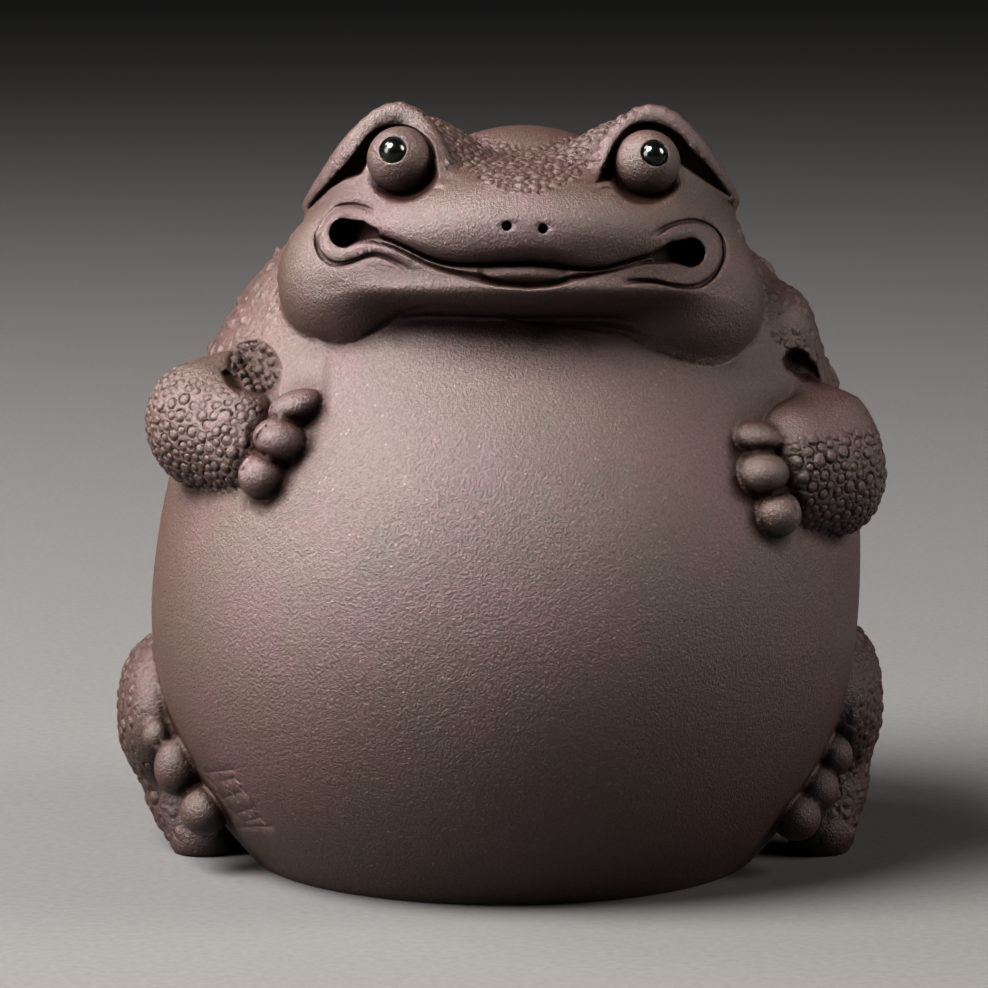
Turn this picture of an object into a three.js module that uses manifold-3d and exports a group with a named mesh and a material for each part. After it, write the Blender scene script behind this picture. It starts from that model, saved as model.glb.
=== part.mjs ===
// A seated money toad in unglazed clay, with a glossy bead set in each eye for its pupil.
// Millimetres, +Z up. The toad faces -Y, so its own left is +X.
// The origin is the middle of the flat foot under its belly.
import * as THREE from 'three';
import { mergeVertices } from 'three/addons/utils/BufferGeometryUtils.js';
import Module from 'manifold-3d';

// Driving sizes
const HEIGHT = 100;
const PUPIL_BEAD_DIAMETER = 3.6;
const PUPIL_BEAD_SHOWING = 0.7;
const PUPIL_CLEARANCE = 0.3;
const MOUTH_GAP_WIDTH = 1.3;
const MOUTH_GAP_DEPTH = 2.4;
const LIP_WIDTH = 2.3;
const NOSTRIL_DIAMETER = 1.2;
const NOSTRIL_DEPTH = 2.0;
const WART_DIAMETER = 2.8;
const WART_RISE = 0.85;

// The pose and the carving are shares of the height: every place and radius below that goes
// through at() or share() is in hundredths of it.
const HUNDREDTH = HEIGHT / 100;
const share = (hundredths) => hundredths * HUNDREDTH;
const at = (x, y, z) => new THREE.Vector3(share(x), share(y), share(z));

const CLAY = { color: 0x7d6863, roughness: 0.55, metalness: 0 };
const BLACK_GLAZE = { color: 0x0b0d0a, roughness: 0.12, metalness: 0 };

const wasm = await Module();
wasm.setup();

const ACROSS = new THREE.Vector3(1, 0, 0);
const INWARDS = new THREE.Vector3(0, 1, 0);

// Forms: each is a function that gives how far a point lies outside it, negative inside.
const ball = (centre, radius) => (point) => point.distanceTo(centre) - radius;

// An egg leans about the axis that is named, in degrees.
function egg(centre, radii, lean = 0, axis = ACROSS) {
  const upright = new THREE.Quaternion().setFromAxisAngle(axis, -THREE.MathUtils.degToRad(lean));
  return (point) => {
    const local = point.clone().sub(centre).applyQuaternion(upright).divide(radii);
    const size = local.length();
    const slope = local.divide(radii).length();
    return slope > 0 ? (size * (size - 1)) / slope : -Math.min(radii.x, radii.y, radii.z);
  };
}

function taper(from, to, fromRadius, toRadius) {
  const line = new THREE.Line3(from, to);
  const nearest = new THREE.Vector3();
  return (point) => {
    const along = line.closestPointToPointParameter(point, true);
    return point.distanceTo(line.at(along, nearest)) - THREE.MathUtils.lerp(fromRadius, toRadius, along);
  };
}

function blend(width, ...forms) {
  return (point) => forms.map((form) => form(point)).reduce((near, next) => {
    const overlap = Math.max(width - Math.abs(near - next), 0);
    return Math.min(near, next) - (overlap * overlap) / (4 * width);
  });
}

// A limb through joints that are each given as x, y, z and radius, in hundredths
function limb(width, joints) {
  const stretches = joints.slice(1).map(([x, y, z, radius], i) => {
    const [fromX, fromY, fromZ, fromRadius] = joints[i];
    return taper(at(fromX, fromY, fromZ), at(x, y, z), share(fromRadius), share(radius));
  });
  return blend(width, ...stretches);
}

// Solids
function solid(geometry) {
  const bare = geometry.clone();
  bare.deleteAttribute('normal');
  bare.deleteAttribute('uv');
  const merged = mergeVertices(bare, 1e-4);
  return new wasm.Manifold(new wasm.Mesh({
    numProp: 3,
    vertProperties: new Float32Array(merged.attributes.position.array),
    triVerts: new Uint32Array(merged.index.array),
  }));
}

// How far out from the centre a form's surface is, along one direction.
function reach(form, centre, direction) {
  const point = centre.clone();
  let inside = 0;
  let outside = 0;
  while (form(point) < 0) {
    inside = outside;
    outside += share(1);
    point.copy(centre).addScaledVector(direction, outside);
  }
  for (let halving = 0; halving < 12; halving += 1) {
    const middle = (inside + outside) / 2;
    point.copy(centre).addScaledVector(direction, middle);
    if (form(point) < 0) inside = middle;
    else outside = middle;
  }
  return outside;
}

// A closed skin over a form: a sphere's vertices, each moved out from the centre along its own
// ray until it meets the form. The poles lie on the axis that is named.
function skin(form, centre, around, along, poles = 'z') {
  const sphere = new THREE.SphereGeometry(1, around, along);
  if (poles === 'z') sphere.rotateX(Math.PI / 2);
  if (poles === 'x') sphere.rotateZ(Math.PI / 2);
  const places = sphere.attributes.position;
  const direction = new THREE.Vector3();
  for (let i = 0; i < places.count; i += 1) {
    direction.fromBufferAttribute(places, i).normalize();
    const out = reach(form, centre, direction);
    direction.multiplyScalar(out).add(centre);
    places.setXYZ(i, direction.x, direction.y, direction.z);
  }
  return solid(sphere);
}

// A closed rod along a curve that runs over the face. Its half width and half depth come from
// functions of the place along it.
function rod(curve, halfWidth, halfDepth, steps, sides) {
  const straight = new THREE.CylinderGeometry(1, 1, 1, sides, steps);
  const places = straight.attributes.position;
  const bent = new THREE.Vector3();
  for (let i = 0; i < places.count; i += 1) {
    const along = THREE.MathUtils.clamp(places.getY(i) + 0.5, 0, 1);
    const forward = curve.getTangentAt(along);
    const widthWay = new THREE.Vector3().crossVectors(forward, INWARDS).normalize();
    const depthWay = new THREE.Vector3().crossVectors(widthWay, forward);
    bent.copy(curve.getPointAt(along));
    bent.addScaledVector(widthWay, places.getX(i) * halfWidth(along));
    bent.addScaledVector(depthWay, places.getZ(i) * halfDepth(along));
    places.setXYZ(i, bent.x, bent.y, bent.z);
  }
  return solid(straight);
}

function lump(centre, radii, around, along, lean = 0) {
  const sphere = new THREE.SphereGeometry(1, around, along);
  sphere.scale(radii.x, radii.y, radii.z);
  sphere.rotateY(THREE.MathUtils.degToRad(lean));
  sphere.translate(centre.x, centre.y, centre.z);
  return solid(sphere);
}

const evenly = (radius) => new THREE.Vector3(radius, radius, radius);
const curveThrough = (points) => new THREE.CatmullRomCurve3(points);
const joined = (solids) => solids.reduce((whole, next) => whole.add(next));

// Trunk: the round belly in front, the taller egg of the back, and the nape that carries the head
const trunkForm = blend(share(4),
  egg(at(0, 0, 32.2), at(46.3, 44.8, 46.2)),
  egg(at(1.6, 4, 45.5), at(45, 37, 46.5), -4),
  egg(at(2.6, 9, 74), at(19.5, 19, 21.3)),
  egg(at(36.5, -2, 68.5), at(4, 8, 6.5)));

// Eyes: the eyeballs, the sockets that leave a groove round them, and the hoods of skin that bow
// over them
const eyes = [
  {
    side: -1,
    pupil: 'right_pupil',
    centre: at(-13.1, -18.5, 93),
    radius: share(4.2),
    socket: { forward: 1.7, radius: share(4.8) },
    hood: [[-8.4, -21.5, 90.5], [-8.2, -20, 92.5], [-9, -18.5, 95.2], [-10.8, -16.5, 97.4],
      [-13.2, -15.5, 98.6], [-15.8, -15.5, 97.8], [-18.4, -15, 95.4], [-20.8, -13.5, 92],
      [-23.3, -11, 88.8], [-25, -8, 86.4]],
  },
  {
    side: 1,
    pupil: 'left_pupil',
    centre: at(18, -18.5, 92.6),
    radius: share(4.2),
    socket: { forward: 1.7, radius: share(4.8) },
    hood: [[12.9, -21.5, 90.2], [12.7, -20, 92.4], [13.6, -18.5, 95], [15.6, -16.5, 97.2],
      [18.4, -15.5, 98.3], [21.1, -15.5, 97.5], [23.6, -15, 95], [25.7, -13.5, 91.9],
      [27.8, -11, 89.2], [29.3, -8, 87.2]],
  },
];

// Head: skull, snout, chin, jowls and brows
const headForm = blend(share(4.5),
  egg(at(3.4, -5, 83.2), at(26.6, 23, 9.6)),
  egg(at(2.3, -18, 82), at(21, 15, 8.6), -16),
  egg(at(2.3, -18, 76.8), at(24, 14.5, 3.8), -6),
  egg(at(-18.4, -12, 77), at(10.5, 12.5, 10.5)),
  egg(at(21.9, -12, 74.4), at(11.3, 12.5, 10.8)),
  ...eyes.map(({ centre, side }) => egg(centre.clone().add(at(-side * 0.5, 9, -2)), at(9.6, 11, 7.2))));

// The place on the face that is seen at x and z from the front: a point in front of the face
// moves inwards in ever shorter steps until it touches.
function onFace([x, z]) {
  const point = at(x, -60, z);
  for (let step = 0; step < 60; step += 1) {
    point.addScaledVector(INWARDS, Math.max(headForm(point), 0) * 0.9);
  }
  return point;
}

// Mouth: the rolled lip that runs round both corner pits and along the lower jaw, the gap
// above it, the groove outside each corner, and the tongue tip
const lipLine = [[-16.8, 85.9], [-19.9, 86.5], [-22.4, 85.2], [-22.8, 83.2], [-21.3, 81.6], [-18.8, 81.7],
  [-15.6, 82.7], [-10.7, 81], [-7, 79.5], [-3.2, 78.5], [2.5, 77.4], [7.7, 77.7], [13.8, 79.2], [17, 80.1],
  [20.3, 79.8], [23.4, 79], [25.6, 80.4], [26, 82.6], [23.9, 84.4], [20.8, 84.2], [18.2, 83.2]];
const gapLine = [[-20.5, 84.3], [-16.5, 84.4], [-13.2, 83.3], [-9.4, 81.7], [-5.4, 80.7], [2.5, 80.2],
  [10.5, 80.4], [14.5, 81.2], [18, 82], [23.4, 81.8]];
const grooveLines = [
  [[-16.1, 87.2], [-19.4, 88.1], [-23.2, 86.6], [-24.4, 83.2], [-22.2, 80.2], [-18.6, 80.1], [-14.6, 81],
    [-11.4, 79.4]],
  [[18.1, 84.7], [22.3, 86], [26.4, 85.2], [27.6, 81.6], [25.6, 78], [21.3, 77.8], [16.4, 78.2],
    [13.6, 77.6]],
];
const cornerGrooveSize = { halfWidth: share(0.45), depth: share(0.8) };
const cornerPits = [[-20.1, 84, 1.7], [23, 81.7, 1.9]];
const cornerPitDepth = share(4);
const nostrils = [[0.3, 85.9], [4.7, 85.6]];

// A half width that narrows over a short stretch at both ends of a rod
const roundEnds = (half) => (along) => {
  const narrowest = 0.35;
  const stretch = 0.06;
  return half * Math.min(1, narrowest + Math.min(along, 1 - along) / stretch);
};

function lip() {
  const half = LIP_WIDTH / 2;
  const points = lipLine.map(onFace);
  return rod(curveThrough(points), roundEnds(half), roundEnds(half * 0.9), 28, 5);
}

function mouthGap() {
  const points = gapLine.map(onFace);
  return rod(curveThrough(points), () => MOUTH_GAP_WIDTH / 2, () => MOUTH_GAP_DEPTH, 16, 4);
}

function cornerGroove(line) {
  const points = line.map(onFace);
  const { halfWidth, depth } = cornerGrooveSize;
  return rod(curveThrough(points), () => halfWidth, () => depth, 10, 3);
}

function cornerPit([x, z, radius]) {
  return lump(onFace([x, z]), new THREE.Vector3(share(radius), cornerPitDepth, share(radius)), 8, 6);
}

function nostril([x, z]) {
  const half = NOSTRIL_DIAMETER / 2;
  return lump(onFace([x, z]), new THREE.Vector3(half, NOSTRIL_DEPTH, half), 6, 6);
}

// The wedge of shadow between a hood and the cheek: it narrows outwards from the eyeball
function eyeRecess({ centre, side, socket }) {
  const inner = centre.clone().add(at(0, -socket.forward, 0.3));
  const outer = centre.clone().add(at(side * 9.5, -1, -5.2));
  return skin(taper(inner, outer, share(4.9), share(0.8)), inner, 10, 6, 'x');
}

// The socket is closed behind the eyeball
function eyeSocket({ centre, socket }) {
  return lump(centre.clone().add(at(0, -socket.forward, 0)), evenly(socket.radius), 10, 8);
}

const eyeball = ({ centre, radius }) => lump(centre, evenly(radius), 12, 9);

// A hood is thickest over the eyeball, and thins out towards the cheek
function hood({ hood: line }) {
  const points = line.map(([x, y, z]) => at(x, y, z));
  const thin = share(0.55);
  const swell = share(1.1);
  const half = (along) => thin + swell * Math.sin(Math.PI * Math.min(along * 1.25 + 0.04, 1) ** 0.8);
  return rod(curveThrough(points), half, half, 12, 6);
}

function pupilPlace({ centre, radius, side }) {
  const gaze = new THREE.Vector3(side * 0.225, -0.89, 0.4).normalize();
  const sunk = PUPIL_BEAD_DIAMETER / 2 - PUPIL_BEAD_SHOWING;
  return centre.clone().addScaledVector(gaze, radius - sunk);
}

const pupilBead = (eye, extra = 0) => lump(pupilPlace(eye), evenly(PUPIL_BEAD_DIAMETER / 2 + extra), 12, 7);

// Arms: a plump mitt and palm on each side with three fingers laid on the belly, and the hollow
// of the armpit above them
const arms = [
  {
    shoulder: [[-34.7, -10, 64, 3.4], [-38.2, -11, 60, 6]],
    mitt: { centre: at(-37.6, -13, 58.4), radii: at(8.1, 8.6, 8.3), lean: -12 },
    palm: { centre: at(-32.6, -20, 56.8), radii: at(5.6, 6.2, 6.8), lean: -10 },
    fingers: [
      { centre: at(-26.3, -24.8, 62.5), radii: at(3.6, 3, 2), lean: -20 },
      { centre: at(-28.1, -27.2, 58.5), radii: at(3.5, 3.6, 2.75), lean: 18 },
      { centre: at(-30.4, -27.7, 54.1), radii: at(3, 3.5, 2.95), lean: 0 },
    ],
    armpit: { centre: at(-32.3, -18, 66.4), radii: at(4.3, 4, 3.7) },
  },
  {
    shoulder: [[37.6, -10, 61.5, 3.4], [40, -11, 58, 6]],
    mitt: { centre: at(41.4, -12.6, 53.2), radii: at(7.5, 8.6, 9.2), lean: -14 },
    palm: { centre: at(36.6, -19, 54), radii: at(5.6, 6.4, 7.8), lean: -8 },
    fingers: [
      { centre: at(31.8, -23.8, 58.4), radii: at(3.1, 2.9, 2), lean: 8 },
      { centre: at(32.4, -25.9, 54.1), radii: at(3.4, 3.6, 2.8), lean: 0 },
      { centre: at(34.3, -26.4, 49.1), radii: at(3.1, 3.5, 3), lean: 0 },
    ],
    armpit: { centre: at(38.2, -10.5, 65.9), radii: at(3.2, 5, 3.4) },
  },
];

const armForm = ({ shoulder, mitt, palm }) => blend(share(4.5),
  egg(mitt.centre, mitt.radii, mitt.lean, INWARDS),
  limb(share(3), shoulder),
  egg(palm.centre, palm.radii, palm.lean, INWARDS));

function arm(shape) {
  const mitt = skin(armForm(shape), shape.mitt.centre, 14, 9);
  const fingers = shape.fingers.map(({ centre, radii, lean }) => lump(centre, radii, 8, 6, lean));
  return joined([mitt, ...fingers]);
}

const armpit = ({ armpit: { centre, radii } }) => lump(centre, radii, 12, 8);

// Legs: folded haunch, knee, shin and foot, with three toes against the belly
const legs = [
  {
    haunch: { centre: at(-31.9, 21, 17), radii: at(15.5, 18, 16) },
    knee: { centre: at(-45.4, 4, 18.7), radii: at(5.8, 13, 9.7) },
    shin: [[-45.4, 4, 14.7, 5], [-41.7, 2, 7.3, 5], [-39.8, -1, 2.5, 4.6]],
    toes: [
      { centre: at(-45.1, -9.4, 17.2), radii: at(2.1, 2.5, 2.3) },
      { centre: at(-42.4, -11.5, 13.5), radii: at(3.1, 3.4, 3.8) },
      { centre: at(-38.8, -14, 8.3), radii: at(3.2, 3.6, 3.2) },
    ],
  },
  {
    haunch: { centre: at(33.1, 21, 17), radii: at(15.5, 18, 16) },
    knee: { centre: at(44.4, 4, 20.5), radii: at(5.8, 13, 9.7) },
    shin: [[44.4, 4, 16.5, 5], [42.7, 2, 8.7, 5], [42, -1, 3, 4.6]],
    toes: [
      { centre: at(43, -9.2, 14.6), radii: at(2.5, 2.6, 2.7) },
      { centre: at(40.7, -11.3, 10.6), radii: at(2.9, 3.1, 3.1) },
      { centre: at(37.9, -13.8, 7.4), radii: at(3.2, 3.5, 3.1) },
    ],
  },
];

const thighForm = ({ haunch, knee }) => blend(share(4),
  egg(haunch.centre, haunch.radii),
  egg(knee.centre, knee.radii));

// A place well inside a thigh, from which all of its skin can be seen
const thighMiddle = ({ haunch, knee }) => haunch.centre.clone().lerp(knee.centre, 0.46);

function leg(shape) {
  const [x, y, z] = shape.shin[1];
  const thigh = skin(thighForm(shape), thighMiddle(shape), 16, 10);
  const shin = skin(limb(share(3), shape.shin), at(x, y, z), 8, 6);
  const toes = shape.toes.map(({ centre, radii }) => lump(centre, radii, 8, 5));
  return joined([thigh, shin, ...toes]);
}

// Warts: low domes set in a spiral over a form, where a rule says that they belong
function warts(form, centre, count, belongs) {
  const golden = Math.PI * (3 - Math.sqrt(5));
  const unevenness = 0.2;
  const domes = [];
  for (let i = 0; i < count; i += 1) {
    const up = 1 - (2 * (i + 0.5)) / count;
    const level = Math.sqrt(1 - up * up);
    const direction = new THREE.Vector3(level * Math.cos(i * golden), level * Math.sin(i * golden), up);
    const radius = (WART_DIAMETER / 2) * (1 + unevenness * Math.sin(i * 2.3));
    const out = reach(form, centre, direction) + WART_RISE - radius;
    const place = centre.clone().addScaledVector(direction, out);
    if (!belongs(place)) continue;
    const dome = new THREE.OctahedronGeometry(radius, 0);
    dome.rotateX(Math.PI / 2);
    dome.applyQuaternion(new THREE.Quaternion().setFromUnitVectors(new THREE.Vector3(0, 0, 1), direction));
    dome.translate(place.x, place.y, place.z);
    domes.push(solid(dome));
  }
  return domes;
}

function allWarts() {
  const clear = share(1.2);
  const onArms = arms.flatMap((shape, i) => {
    const { centre } = shape.mitt;
    const mine = (place) => trunkForm(place) > clear && Math.abs(place.x) > Math.abs(centre.x) - share(5);
    return warts(armForm(shape), centre, 26 + i, mine);
  });
  const onLegs = legs.flatMap((shape) => {
    const mine = (place) => trunkForm(place) > clear && place.z > clear * 2;
    return warts(thighForm(shape), thighMiddle(shape), 24, mine);
  });
  return [...onArms, ...onLegs];
}

// The flat foot: everything below the floor is cut away
function belowFloor() {
  const box = new THREE.BoxGeometry(share(160), share(160), share(40));
  box.translate(0, 0, share(-20));
  return solid(box);
}

function clayFigure() {
  const trunk = skin(trunkForm, at(1, 3, 44), 32, 20);
  const head = skin(headForm, at(2.3, -13, 83), 30, 22, 'x');
  const raised = [trunk, ...legs.map(leg)];
  const hollowed = arms.map(armpit).reduce((whole, hollow) => whole.subtract(hollow), joined(raised));
  const sockets = eyes.flatMap((eye) => [eyeRecess(eye), eyeSocket(eye)]);
  const recessed = sockets.reduce((whole, hollow) => whole.subtract(hollow), hollowed.add(head));
  const added = [...eyes.map(hood), ...eyes.map(eyeball), ...arms.map(arm), lip(), ...allWarts()];
  const grown = joined([recessed, ...added]);
  const beadSeats = eyes.map((eye) => pupilBead(eye, PUPIL_CLEARANCE));
  const cuts = [mouthGap(), ...grooveLines.map(cornerGroove), ...cornerPits.map(cornerPit),
    ...nostrils.map(nostril), ...beadSeats, belowFloor()];
  return cuts.reduce((whole, cut) => whole.subtract(cut), grown);
}

function asMesh(name, made, look) {
  const { vertProperties, triVerts, numProp } = made.getMesh();
  const geometry = new THREE.BufferGeometry();
  const places = new THREE.InterleavedBuffer(vertProperties, numProp);
  geometry.setAttribute('position', new THREE.InterleavedBufferAttribute(places, 3, 0));
  geometry.setIndex(new THREE.BufferAttribute(triVerts, 1));
  const mesh = new THREE.Mesh(geometry, new THREE.MeshStandardMaterial(look));
  mesh.name = name;
  return mesh;
}

const toad = new THREE.Group();
toad.add(asMesh('clay_toad', clayFigure(), CLAY));
eyes.forEach((eye) => toad.add(asMesh(eye.pupil, pupilBead(eye), BLACK_GLAZE)));

export default toad;
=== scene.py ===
"""A seated money toad in unglazed clay: its carved skin, its glossy pupils and the studio around it.

The figure is one lump of clay. Its skin is worked the way a modeller works: rough lumps are
fused, smoothed onto one flowing form, and then the lids, lips, mouth, warts and marks are cut.
Lengths in the form are in hundredths of the toad's height, and become metres at the end.
"""
import math
from collections import namedtuple
from concurrent.futures import ThreadPoolExecutor

import bmesh
import bpy
import numpy as np
from mathutils import Euler, Matrix, Vector, kdtree


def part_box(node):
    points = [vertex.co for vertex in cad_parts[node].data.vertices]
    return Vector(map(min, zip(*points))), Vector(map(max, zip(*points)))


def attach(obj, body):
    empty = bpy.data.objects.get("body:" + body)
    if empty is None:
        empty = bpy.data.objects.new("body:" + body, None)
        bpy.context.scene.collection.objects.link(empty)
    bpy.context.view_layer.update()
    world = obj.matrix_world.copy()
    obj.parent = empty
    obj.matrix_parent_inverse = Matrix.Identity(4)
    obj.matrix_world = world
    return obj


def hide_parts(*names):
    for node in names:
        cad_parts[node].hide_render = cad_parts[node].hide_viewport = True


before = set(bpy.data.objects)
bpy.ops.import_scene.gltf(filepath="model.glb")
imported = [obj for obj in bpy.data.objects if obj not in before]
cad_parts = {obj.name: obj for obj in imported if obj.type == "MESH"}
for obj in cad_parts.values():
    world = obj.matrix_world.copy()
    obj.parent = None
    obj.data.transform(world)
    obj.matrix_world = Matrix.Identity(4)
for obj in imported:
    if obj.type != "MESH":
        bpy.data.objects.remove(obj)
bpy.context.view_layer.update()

HEIGHT = round(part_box("clay_toad")[1].z, 3)
HUNDREDTH = HEIGHT / 100
SEED = 11

# The grid that the lumps are fused on, how many triangles the skin is thinned to, how far painted
# shade reaches out from a crease, and the name of the mesh's layer that holds the painted shade
GRID = 0.5
SKIN_TRIANGLES = 183000
SHADE_REACH = 2.0
PAINTED_SHADE_LAYER = "painted_shade"

# The camera stands a little above the toad and looks at the middle of it.
CAMERA_DISTANCE = 630.0
CAMERA_RISE = math.radians(8.5)
CAMERA_AIM = (-1.3, 0.0, 47.66)
PIXELS_PER_RADIAN = 4800.0
PICTURE_SIDE = 988
FACE_DISTANCE = 605.0
FACE_PIXELS = PIXELS_PER_RADIAN / FACE_DISTANCE
SENSOR_WIDTH = 36
RISE_COS = math.cos(CAMERA_RISE)
RISE_SIN = math.sin(CAMERA_RISE)


def array(values):
    return np.asarray(values, np.float32)


# Forms: each gives how far every one of many places lies outside it, negative inside.
def turn(about_x=0.0, about_y=0.0):
    return array(Euler((math.radians(about_x), math.radians(about_y), 0)).to_matrix())


def egg(p, centre, radii, turned=None):
    q = p - array(centre)
    if turned is not None:
        q = q @ turned
    a = q / array(radii)
    near = np.sqrt((a * a).sum(1))
    steep = np.sqrt(((a / array(radii)) ** 2).sum(1))
    return near * (near - 1) / np.maximum(steep, 1e-6)


def ball(p, centre, radius):
    return np.sqrt(((p - array(centre)) ** 2).sum(1)) - radius


def nearest_ball(p, centres, radius):
    return np.minimum.reduce([ball(p, centre, radius) for centre in centres])


def rod(p, start, end, start_radius, end_radius):
    way = array(end) - array(start)
    q = p - array(start)
    along = np.clip(q @ way / (way @ way), 0, 1)
    radius = start_radius + along * (end_radius - start_radius)
    return np.sqrt(((q - along[:, None] * way) ** 2).sum(1)) - radius


def join(a, b, width):
    overlap = np.maximum(width - np.abs(a - b), 0)
    return np.minimum(a, b) - overlap * overlap / (4 * width)


def chain(p, points, radii, width):
    out = None
    for i in range(len(points) - 1):
        stretch = rod(p, points[i], points[i + 1], radii[i], radii[i + 1])
        out = stretch if out is None else join(out, stretch, width)
    return out


def within(p, centre, reach, form):
    """A form worked out only near its own place, and a safe distance elsewhere."""
    far = ball(p, centre, reach)
    out = far + 1
    close = far < 2
    if close.any():
        out[close] = form(p[close])
    return out


def smooth_line(points, between=3):
    """A smooth line through the points, as many short steps."""
    pts = np.array(points, float)
    pts = np.vstack([2 * pts[0] - pts[1], pts, 2 * pts[-1] - pts[-2]])
    out = []
    for i in range(1, len(pts) - 2):
        a, b, c, d = pts[i - 1:i + 3]
        for t in np.arange(between) / between:
            bend = 2 * a - 5 * b + 4 * c - d + t * (3 * (b - c) + d - a)
            out.append(b + 0.5 * t * (c - a + t * bend))
    out.append(pts[-2])
    return array(out)


def line_distance(uv, line):
    """How far places lie from a line in the face's plane, and where along it the nearest point is."""
    best = np.full(len(uv), 1e9, np.float32)
    where = np.zeros(len(uv), np.float32)
    steps = len(line) - 1
    for i in range(steps):
        way = line[i + 1] - line[i]
        q = uv - line[i]
        along = np.clip(q @ way / max(float(way @ way), 1e-9), 0, 1)
        gap = ((q - along[:, None] * way) ** 2).sum(1)
        nearer = gap < best
        best[nearer] = gap[nearer]
        where[nearer] = (i + along[nearer]) / steps
    return np.sqrt(best), where


CAMERA = array([CAMERA_AIM[0], -CAMERA_DISTANCE * RISE_COS, CAMERA_AIM[2] + CAMERA_DISTANCE * RISE_SIN])


def picture(p):
    """Where places show in the picture, across and down, in pixels."""
    q = p - CAMERA
    away = q[:, 1] * RISE_COS - q[:, 2] * RISE_SIN
    up = q[:, 1] * RISE_SIN + q[:, 2] * RISE_COS
    across = PICTURE_SIDE / 2 + PIXELS_PER_RADIAN * q[:, 0] / away
    down = PICTURE_SIDE / 2 - PIXELS_PER_RADIAN * up / away
    return np.stack([across, down], 1).astype(np.float32)


def sight(p):
    """The directions in which places are seen."""
    q = p - CAMERA
    return q / np.sqrt((q * q).sum(1))[:, None]


# The lumps of the trunk and the head: each has a centre, its radii and, where it leans, its turn
BELLY = ((0, 0, 32.2), (46.3, 44.8, 46.2))
BACK = ((1.6, 4, 45.5), (45, 37, 46.5), turn(about_x=-4))
NAPE = ((2.6, 9, 74), (19.5, 19, 21.3))
LEFT_SHOULDER = ((36.5, -2, 68.5), (4, 8, 6.5))
SKULL = ((3.4, -5, 83.2), (26.6, 23, 9.6))
RIGHT_JOWL = ((-18.4, -12, 77), (10.5, 12.5, 10.5))
LEFT_JOWL = ((21.9, -12, 74.4), (11.3, 12.5, 10.8))
SNOUT = ((2.3, -18, 82), (21, 15, 8.6), turn(about_x=-16))
CHIN = ((2.3, -18, 76.8), (24, 14.5, 3.8), turn(about_x=-6))
BROW_RADII = (9.6, 11, 7.2)
HEAD_MIDDLE = (2.3, -8, 84)

# The toad's right eye and then its left: the eyeball, and the line that its hood follows
EYES = [
    dict(side=-1, centre=array((-13.1, -18.5, 93.0)), radius=4.25,
         hood=smooth_line([(-8.4, -21.5, 90.5), (-8.2, -20, 92.5), (-9, -18.5, 95.2), (-10.8, -16.5, 97.4),
                           (-13.2, -15.5, 98.6), (-15.8, -15.5, 97.8), (-18.4, -15, 95.4),
                           (-20.8, -13.5, 92), (-23.3, -11, 88.8), (-25, -8, 86.4)], 2)),
    dict(side=1, centre=array((18.0, -18.5, 92.6)), radius=4.2,
         hood=smooth_line([(12.9, -21.5, 90.2), (12.7, -20, 92.4), (13.6, -18.5, 95), (15.6, -16.5, 97.2),
                           (18.4, -15.5, 98.3), (21.1, -15.5, 97.5), (23.6, -15, 95),
                           (25.7, -13.5, 91.9), (27.8, -11, 89.2), (29.3, -8, 87.2)], 2)),
]
HOOD_THICKNESS = [0.4, 0.75, 1.15, 1.4, 1.5, 1.45, 1.3, 1.15, 1.0, 0.8]
HOOD_RADII = np.interp(np.linspace(0, 9, 19), range(10), HOOD_THICKNESS)


def brow(eye):
    """The ball of clay behind an eye, a little lower and nearer the middle."""
    return eye["centre"] + array((-eye["side"] * 0.5, 9, -2)), BROW_RADII


def trunk(p):
    body = join(egg(p, *BELLY), egg(p, *BACK), 4)
    return join(join(body, egg(p, *NAPE), 5), egg(p, *LEFT_SHOULDER), 3)


def head(p):
    d = egg(p, *SKULL)
    for jowl in (RIGHT_JOWL, LEFT_JOWL):
        d = join(d, egg(p, *jowl), 4.5)
    for eye in EYES:
        d = join(d, egg(p, *brow(eye)), 5)
    d = join(d, egg(p, *SNOUT), 6)
    return join(d, egg(p, *CHIN), 3)


def face(p):
    """The head with the hoods over its eyes."""
    d = head(p)
    for eye in EYES:
        hood = within(p, eye["centre"], 17, lambda q: chain(q, eye["hood"], HOOD_RADII, 0.3))
        d = join(d, hood, 2.4)
    return d


# The limbs, each pair with the toad's right one first
ARMS = [
    dict(shoulder=[(-34.7, -10, 64), (-38.2, -11, 60)],
         mitt=((-37.6, -13, 58.4), (8.1, 8.6, 8.3), turn(about_y=-12)),
         palm=((-32.6, -20, 56.8), (5.6, 6.2, 6.8), turn(about_y=-10)),
         fingers=[((-26.3, -24.8, 62.5), (3.6, 3, 2.0), turn(about_y=-20)),
                  ((-28.1, -27.2, 58.5), (3.5, 3.6, 2.75), turn(about_y=18)),
                  ((-30.4, -27.7, 54.1), (3.0, 3.5, 2.95))]),
    dict(shoulder=[(37.6, -10, 61.5), (40, -11, 58)],
         mitt=((41.4, -12.6, 53.2), (7.5, 8.6, 9.2), turn(about_y=-14)),
         palm=((36.6, -19, 54), (5.6, 6.4, 7.8), turn(about_y=-8)),
         fingers=[((31.8, -23.8, 58.4), (3.1, 2.9, 2.0), turn(about_y=8)),
                  ((32.4, -25.9, 54.1), (3.4, 3.6, 2.8)),
                  ((34.3, -26.4, 49.1), (3.1, 3.5, 3.0))]),
]
SHOULDER_RADII = [3.4, 6]

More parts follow.
